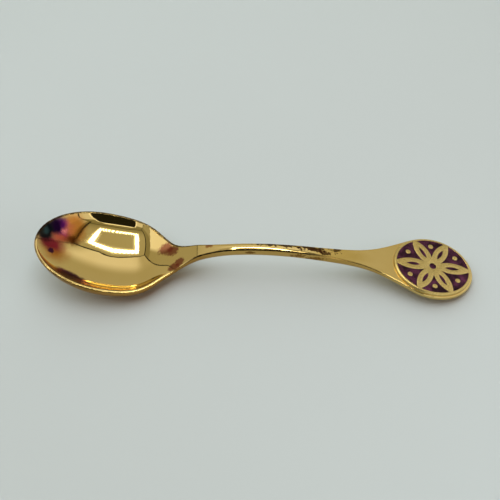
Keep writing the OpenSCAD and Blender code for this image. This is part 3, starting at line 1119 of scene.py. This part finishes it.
@dataclass
class LightTent:
    """The white tent round the spoon in mm: cards that only the metal sees, lamps, and the floor's light."""

    ceiling_z: float = 330.0
    side_x: Point2 = (-189.0, 184.0)
    side_y: Point2 = (-206.5, 173.5)
    layer: float = 0.5
    seam_layer: int = 3
    halo_layer: int = 4
    lamp_layer: int = 6
    seam: float = 9.0
    ceiling_seam: float = 14.0
    low_seam: float = 5.0
    fold: float = 9.0
    hem: float = 8.0
    hem_light: Point2 = (1.5, 1.5)
    bead_pitch: float = 14.0
    bead_swing: Point2 = (0.5, 1.5)
    bead_edge: float = 0.2
    back_light: Point2 = (0.57, 1.05)
    back_span: Point2 = (125.0, 220.0)
    back_fade: Point2 = (60.0, 150.0)
    front_light: Point2 = (0.95, 0.34)
    left_light: Point2 = (0.5, 0.34)
    right_light: Point2 = (0.85, 0.7)
    wall_span: Point2 = (225.0, 250.0)
    ceiling_light: Point2 = (0.3, 0.56)
    ceiling_span: Point2 = (-190.0, -10.0)
    patch_light: Point2 = (1.25, 0.5)
    patch_span: Point2 = (78.0, 116.0)
    dark: Point2 = (0.02, 0.02)
    fold_light: Point2 = (0.05, 0.05)
    lamp_light: float = 14.0
    halo_light: float = 1.3
    halo_reach: float = 0.55
    floor_light: float = 2.0
    soft_x: Point2 = (-100.0, 100.0)
    soft_y: Point2 = (-65.0, 135.0)
    fill_light: float = 1.7
    fill_x: float = 250.0
    fill_z: Point2 = (80.0, 240.0)
    room_light: float = 3.46
    room_angle: float = 110.0
    room_colour: str = "#dff3fe"
    room_from: Point3 = (-0.6, 0.75, 1.0)
    sky_colour: str = "#dc9a58"
    sky_light: float = 0.32

    def spot(self, side: Side, u: float, v: float, layer: int) -> Point3:
        """Place of a point on a side.

        Args:
            side: Side of the tent.
            u: First of its two free axes.
            v: Second of its two free axes.
            layer: How many layers it hangs in front of the side.

        Returns:
            Place in mm.
        """
        gap = layer * self.layer
        return {Side.CEILING: (u, v, self.ceiling_z - gap), Side.BACK: (u, self.side_y[1] - gap, v),
                Side.FRONT: (u, self.side_y[0] + gap, v), Side.LEFT: (self.side_x[0] + gap, u, v),
                Side.RIGHT: (self.side_x[1] - gap, u, v), Side.OUTSIDE: (self.fill_x, u, v)}[side]

    def hang(self, name: str, side: Side, lines: list, material: Material, layer: int = 0,
             lights: bool = False) -> Mesh:
        """Hangs one card: a panel inside one line, or a strip between two.

        Args:
            name: Name of the card.
            side: Side of the tent.
            lines: Its outline, or a strip's two edges with as many points each.
            material: Its glow.
            layer: How many layers it hangs in front of the side.
            lights: Whether it lights the floor, or is seen in the metal.

        Returns:
            The card's mesh.
        """
        count = len(lines[0])
        faces = [(i, i + 1, count + i + 1, count + i) for i in range(count - 1)]
        if len(lines) == 1:
            faces = [tuple(range(count))]
        mesh = bpy.data.meshes.new(name)
        points = [[c * MM for c in self.spot(side, u, v, layer)] for line in lines for u, v in line]
        mesh.from_pydata(points, [], faces)
        mesh.materials.append(material)
        card = add_object(name, mesh)
        card.visible_camera = card.visible_shadow = False
        card.visible_diffuse, card.visible_glossy = lights, not lights
        card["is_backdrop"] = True
        return mesh

    def lamp(self, name: str, outer: np.ndarray, inner: np.ndarray, material: Material, layer: int) -> None:
        """Hangs a strip of lamps under the ceiling between two lines.

        Args:
            name: Name of the strip.
            outer: Its outer line.
            inner: Its inner line, with as many points.
            material: Its glow, which reads beads along U and the strip's width along V.
            layer: How many layers it hangs under the ceiling.
        """
        mesh = self.hang(name, Side.CEILING, [outer, inner], material, layer)
        gaps = np.linalg.norm(np.diff((outer + inner) / 2, axis=0), axis=1)
        along = np.r_[0, np.cumsum(gaps)] / self.bead_pitch
        coords = [((a, -1), (b, -1), (b, 1), (a, 1)) for a, b in zip(along, along[1:])]
        mesh.uv_layers.new(name="beads").data.foreach_set("uv", np.ravel(coords).astype(np.float32))

    def build_cloth(self) -> None:
        """Hangs the ceiling, the walls, their seams and the dark door."""
        (x0, x1), (y0, y1), top = self.side_x, self.side_y, self.ceiling_z
        white = ClothFinish("white_cloth_side", self.front_light, self.wall_span).material()
        back = ClothFinish("white_cloth_back", self.back_light, self.back_span, fade=self.back_fade).material()
        right = ClothFinish("white_cloth_right", self.right_light, self.wall_span).material()
        shade = ClothFinish("shaded_cloth_side", self.left_light, self.wall_span).material()
        sunlit = ClothFinish("sunlit_cloth", self.patch_light, self.patch_span, "Y").material()
        roof = ClothFinish("white_cloth_ceiling", self.ceiling_light, self.ceiling_span, "Y").material()
        black = ClothFinish("dark_seam", self.dark).material()
        brown = ClothFinish("soft_fold", self.fold_light).material()
        hem = ClothFinish("door_hem", self.hem_light).material()
        across = [(x0, 0), (x1, 0), (x1, top), (x0, top)]
        along = [(y0, 0), (y1, 0), (y1, top), (y0, top)]
        patch = [(116, 0), (116, 242), (20, 238), (-62, 180), (-110, 70), (-110, 0)]
        edge = [(182, 163), (161, 91), (155, 22), (156, -58), (157, -164), (157, y0)]
        rear = [(182, 163), (134, 169), (84, 168), (45, 172)]
        sag = [(45, top - 1), (20, 304), (1, 297), (-23, 299), (-55, 313), (-84, 324), (x0, 325)]
        fold = [(157, -164), (103, -146), (49, -144), (1, -138), (-43, -128), (-105, -148), (x0, -160)]
        door = [(34, 0), (54, 56), (80, 162), (92, 262), (92, 292), (82, 312), (60, 325), (-92, 325), (-106, 320),
                (-112, 300), (-116, 200), (-120, 134), (-122, 0)]
        header = [(84, y0), (58, y0 + 22), (-80, y0 + 22), (-104, y0)]
        for name, side, line, material, layer in (
                ("tent_shoulder", Side.CEILING, [(x0, y0), (x1, y0), (x1, y1), (x0, y1)], white, 0),
                ("tent_back", Side.BACK, across, back, 0), ("tent_front", Side.FRONT, across, white, 0),
                ("tent_right", Side.RIGHT, along, right, 0), ("tent_left", Side.LEFT, along, shade, 0),
                ("tent_left_patch", Side.LEFT, patch, sunlit, 1),
                ("tent_ceiling", Side.CEILING, edge[::-1] + rear[1:] + [(x0, y1), (x0, y0)], roof, 1),
                ("tent_ceiling_sag", Side.BACK, sag + [(x0, top), (45, top)], roof, 2),
                ("tent_door", Side.FRONT, door, black, 2), ("door_header", Side.CEILING, header, hem, 2)):
            self.hang(name, side, [line], material, layer)
        back_right = [(182, top), (176, 279), (180, 252), (177, 209), (172, 163), (170, 0)]
        front_right = [(160, top), (172, 260), (166, 189), (125, 85), (90, 0)]
        for name, side, line, width, material in (
                ("seam_right", Side.CEILING, edge, self.ceiling_seam, black),
                ("seam_rear", Side.CEILING, rear, self.ceiling_seam, black),
                ("seam_back", Side.BACK, sag, self.ceiling_seam, black),
                ("seam_left", Side.CEILING, [(x0 + 4, y1), (x0 + 4, y0)], self.ceiling_seam, black),
                ("seam_back_right", Side.BACK, back_right, self.seam, black),
                ("seam_back_left", Side.BACK, [(x0 + 5, top), (x0 + 5, 200)], self.seam, black),
                ("seam_low_back_left", Side.BACK, [(x0 + 4, 200), (x0 + 4, 80)], self.low_seam, black),
                ("seam_front_right", Side.FRONT, front_right, self.seam, black),
                ("seam_front_left", Side.LEFT, [(y0 + 4, top), (y0 + 4, 0)], self.seam, black),
                ("ceiling_fold", Side.CEILING, fold, self.fold, brown),
                ("door_hem", Side.FRONT, door, self.hem, hem)):
            at = np.array(line)
            run = np.gradient(at, axis=0)
            half = np.c_[-run[:, 1], run[:, 0]] / np.linalg.norm(run, axis=1)[:, None] * width / 2
            self.hang(name, side, [at - half, at + half], material, self.seam_layer)

    def build_lamps(self) -> None:
        """Hangs the square of lamps under the ceiling, with a halo round it."""
        cloth = self.ceiling_light[1]
        joined, parted = (BeadFinish(name, swing, self.lamp_light, self.bead_edge, cloth).material()
                          for name, swing in zip(("joined_lamp_beads", "parted_lamp_beads"), self.bead_swing))
        halo = BeadFinish("lamp_halo", 0.0, self.halo_light, 1.0, cloth).material()
        ring = np.array([(107, 109), (93, 22), (75, -84), (-4, -76), (-103, -68), (-97, 50), (-103, 144), (-1, 150)])
        hole = np.array([(78, 87), (70, 22), (65, -48), (2, -48), (-79, -44), (-75, 40), (-79, 114), (3, 112)])
        for i, name in enumerate(("right", "front", "left", "back")):
            picks = [(2 * i + k) % len(ring) for k in range(3)]
            outer, inner = ring[picks], hole[picks]
            self.lamp(f"lamps_{name}", outer, inner, parted if name == "front" else joined, self.lamp_layer)
            spill = (outer - inner) * self.halo_reach
            self.lamp(f"halo_{name}", outer + spill, inner - spill, halo, self.halo_layer)

    def build_floor_light(self) -> None:
        """Lights the floor: a soft card overhead, a low one at the front right, a wide lamp and a faint sky."""
        (u0, u1), (v0, v1), (low, high), y0 = self.soft_x, self.soft_y, self.fill_z, self.side_y[0]
        for name, side, level, corners in (
                ("floor_light", Side.CEILING, self.floor_light, [(u0, v0), (u0, v1), (u1, v1), (u1, v0)]),
                ("fill_light", Side.OUTSIDE, self.fill_light, [(y0, low), (0, low), (0, high), (y0, high)])):
            self.hang(name, side, [corners], ClothFinish(name, (level, level)).material(), lights=True)
        lamp = bpy.data.lights.new("room_light", "SUN")
        lamp.energy = self.room_light
        lamp.angle = math.radians(self.room_angle)
        lamp.color = linear(self.room_colour)[:3]
        room = add_object("room_light", lamp)
        room.rotation_euler = Vector(self.room_from).to_track_quat("Z", "Y").to_euler()
        room.visible_glossy = False
        world = bpy.data.worlds.new("pale_room")
        world.use_nodes = True
        sky = world.node_tree.nodes["Background"].inputs
        sky["Color"].default_value = linear(self.sky_colour)
        sky["Strength"].default_value = self.sky_light
        bpy.context.scene.world = world


@dataclass
class Studio:
    """The photograph's floor and camera, and a pale wall behind."""

    floor_colour: str = "#c6cdc6"
    floor_half: float = 2.5
    cloud_scale: float = 9.0
    cloud_tones: Point2 = (0.98, 1.02)
    wall_colour: str = "#b4bdb6"
    wall_r: float = 2.375
    wall_h: float = 2.0
    wall_steps: int = 48
    elevation: float = 51.0
    yaw: float = 2.16
    focal_px: float = 900.0
    distance: float = 288.0
    aim: Point3 = (-1.98, 7.97, 0.0)
    sensor: float = 36.0
    clip: float = 0.01

    def build_floor(self) -> None:
        """Makes the pale paper floor: matt, with a hardly seen drift in its tone."""
        material, node = new_material("matt_paper")
        place = node("TexCoord", out="Object")
        cloud = node("TexNoise", {"Vector": place, "Scale": self.cloud_scale, "Detail": 2.0})
        low, high = self.cloud_tones
        tone = node("MapRange", {"Value": cloud, "To Min": low, "To Max": high})
        paint = node("VectorMath", {0: linear(self.floor_colour)[:3], "Scale": tone}, operation="SCALE")
        paper = node("BsdfPrincipled", {"Base Color": paint, "Roughness": 0.9, "Specular IOR Level": 0.1})
        node("OutputMaterial", {"Surface": paper})
        mesh = bpy.data.meshes.new("paper_floor")
        h = self.floor_half
        mesh.from_pydata([(-h, -h, FLOOR_Z), (h, -h, FLOOR_Z), (h, h, FLOOR_Z), (-h, h, FLOOR_Z)], [], [(0, 1, 2, 3)])
        mesh.materials.append(material)
        add_object("paper_floor", mesh)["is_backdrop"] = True

    def build_backdrop(self) -> None:
        """Stands a round pale wall on the floor, which only the camera sees."""
        material, node = new_material("pale_wall_paint")
        node("OutputMaterial", {"Surface": node("Emission", {"Color": linear(self.wall_colour)})})
        mesh = bpy.data.meshes.new("pale_backdrop")
        n = self.wall_steps
        points = [(x, y, z) for z in (FLOOR_Z, self.wall_h) for x, y in oval(self.wall_r, self.wall_r, n)]
        mesh.from_pydata(points, [], [(i, (i + 1) % n, n + (i + 1) % n, n + i) for i in range(n)])
        mesh.materials.append(material)
        wall = add_object("pale_backdrop", mesh)
        wall.visible_diffuse = wall.visible_glossy = wall.visible_shadow = False
        wall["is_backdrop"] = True

    def build_camera(self) -> None:
        """Makes the camera at the photograph's viewing angle."""
        e, a = math.radians(self.elevation), math.radians(self.yaw)
        right = Vector((math.cos(a), math.sin(a), 0))
        ahead = Vector((-math.sin(a), math.cos(a), 0))
        view = ahead * math.cos(e) - Vector((0, 0, 1)) * math.sin(e)
        data = bpy.data.cameras.new("photo_camera")
        data.sensor_width = self.sensor
        data.lens = self.focal_px / PHOTO_PX * self.sensor
        data.clip_start = self.clip
        camera = add_object("photo_camera", data)
        axes = Matrix((right, right.cross(view), -view)).transposed().to_4x4()
        camera.matrix_world = Matrix.Translation((Vector(self.aim) - view * self.distance) * MM) @ axes
        bpy.context.scene.camera = camera


TARNISH_STAINS = (
    # rainbow film at the bowl's tip, from its pale outer rings to its dark core
    Stain((-61.6, -1.6, 8.4), (7.0, 6.0, 6.0), "#b06818", 0.9, 0.95),
    Stain((-57.8, 8.4, 7.5), (5.6, 6.6, 5.6), "#c07a30", 0.94, 0.55),
    Stain((-63.2, 1.0, 9.4), (6.8, 4.2, 5.6), "#80182c", 0.96, 0.7),
    Stain((-60.6, 4.6, 8.2), (4.6, 3.4, 3.8), "#a03c2c", 0.92, 0.8),
    Stain((-60.3, 7.5, 8.6), (3.7, 3.9, 3.7), "#b23a66", 0.95, 0.75),
    Stain((-61.8, 7.8, 9.6), (4.0, 4.4, 4.2), "#4c1250", 0.97, 0.7),
    Stain((-63.1, 6.5, 10.4), (3.6, 4.4, 4.0), "#180722", 0.98, 0.6),
    Stain((-65.2, 4.1, 11.3), (3.3, 4.6, 4.2), "#0c1113", 0.98, 0.5),
    Stain((-65.0, 4.4, 11.2), (1.1, 1.8, 1.8), "#2c4644", 0.6, 0.9),
    Stain((-58.4, 8.0, 7.8), (2.6, 3.2, 2.8), "#c8783c", 0.8, 0.9),
    Stain((-61.2, 4.2, 8.4), (3.6, 1.9, 3.0), "#b4583c", 0.85, 0.9),
    Stain((-60.1, 6.8, 8.2), (1.8, 1.5, 1.8), "#e08078", 0.85, 0.9),
    Stain((-57.7, 4.8, 6.4), (3.4, 2.6, 3.2), "#5e2a08", 0.92, 0.8),
    Stain((-62.9, -1.8, 9.0), (1.3, 1.1, 1.5), "#3a1030", 0.96, 0.5),
    # maroon streak inside the near rim
    Stain((-49.2, -13.2, 6.8), (3.4, 1.8, 2.4), "#a0601c", 0.8, 0.7),
    Stain((-58.4, -9.0, 8.1), (3.2, 2.6, 3.6), "#641420", 0.96, 0.6),
    Stain((-56.2, -9.7, 7.5), (3.8, 2.9, 3.6), "#3e0410", 0.98, 0.5),
    Stain((-54.0, -10.5, 6.9), (3.8, 2.8, 3.5), "#3e0410", 0.98, 0.5),
    Stain((-51.7, -11.6, 6.5), (3.2, 2.4, 3.2), "#641420", 0.96, 0.6),
    # red-brown patches at the neck
    Stain((-28.4, 4.3, 3.7), (3.4, 2.4, 3.4), "#7c3424", 0.84, 0.45, 0.2),
    Stain((-26.0, 3.0, 4.3), (2.6, 2.1, 3.4), "#7c3424", 0.84, 0.45, 0.2),
    Stain((-23.4, -2.0, 5.6), (2.0, 2.0, 2.8), "#7c3020", 0.84, 0.45, 0.2),
    Stain((-25.1, -3.6, 4.9), (2.4, 1.7, 2.8), "#7c3020", 0.84, 0.45, 0.2),
    # warm film and brown wear on the stem
    Stain((26.5, 0.0, 9.2), (14.0, 4.0, 4.0), "#b8983e", 0.5, 0.8),
    Stain((-14.3, 1.0, 9.8), (1.7, 1.1, 1.9), "#8e4c16", 0.8, 0.6),
    Stain((3.2, 1.0, 11.8), (3.0, 0.8, 1.6), "#3c2008", 0.9, 0.3, 1.2),
    Stain((9.4, 0.9, 11.4), (5.0, 1.0, 1.8), "#3c2008", 0.9, 0.3, 0.9),
    Stain((16.6, 0.7, 10.6), (5.4, 1.2, 1.8), "#3c2008", 0.92, 0.3, 0.8),
    Stain((18.6, 0.1, 10.3), (2.6, 1.0, 1.8), "#3c2008", 0.9, 0.3, 0.3),
    Stain((21.4, -0.4, 9.9), (2.3, 0.8, 1.6), "#3c2008", 0.88, 0.4, 0.4),
    Stain((24.6, 1.0, 9.4), (2.0, 0.9, 1.6), "#3c2008", 0.85, 0.3, 0.8),
    Stain((-1.4, -1.5, 10.2), (2.2, 0.9, 0.8), "#24140a", 0.92, 0.4),
    Stain((13.0, -1.7, 9.6), (3.0, 0.8, 0.8), "#3a200c", 0.88, 0.4, 0.9),
    Stain((18.2, -1.9, 8.6), (3.2, 0.8, 0.9), "#3a200c", 0.88, 0.4, 0.6),
)


def clear_start_scene() -> None:
    """Removes what Blender starts with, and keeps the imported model."""
    kept = set(frame["nodes"].values()) | set(frame["bodies"].values())
    for obj in list(bpy.data.objects):
        if obj not in kept:
            bpy.data.objects.remove(obj)


def main() -> None:
    """Builds the studio, the spoon and its emblem."""
    logging.basicConfig(level=logging.INFO, format="%(message)s")
    clear_start_scene()
    cad_box = [list(corner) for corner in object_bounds()]
    bpy.context.scene.view_settings.view_transform = "Standard"
    studio = Studio()
    studio.build_camera()
    studio.build_floor()
    studio.build_backdrop()
    tent = LightTent()
    tent.build_cloth()
    tent.build_lamps()
    tent.build_floor_light()
    spoon = SpoonBody()
    spoon.build(GiltFinish("polished_gold_plate", Polish.MIRROR, stains=TARNISH_STAINS), cad_box)
    emblem = Emblem(spoon)
    emblem.build_plate(GiltFinish("satin_gold_plate", Polish.SATIN, "#d0b974", "#c4a85f"))
    emblem.build_enamel(EnamelFinish())


if __name__ == "__main__":
    main()
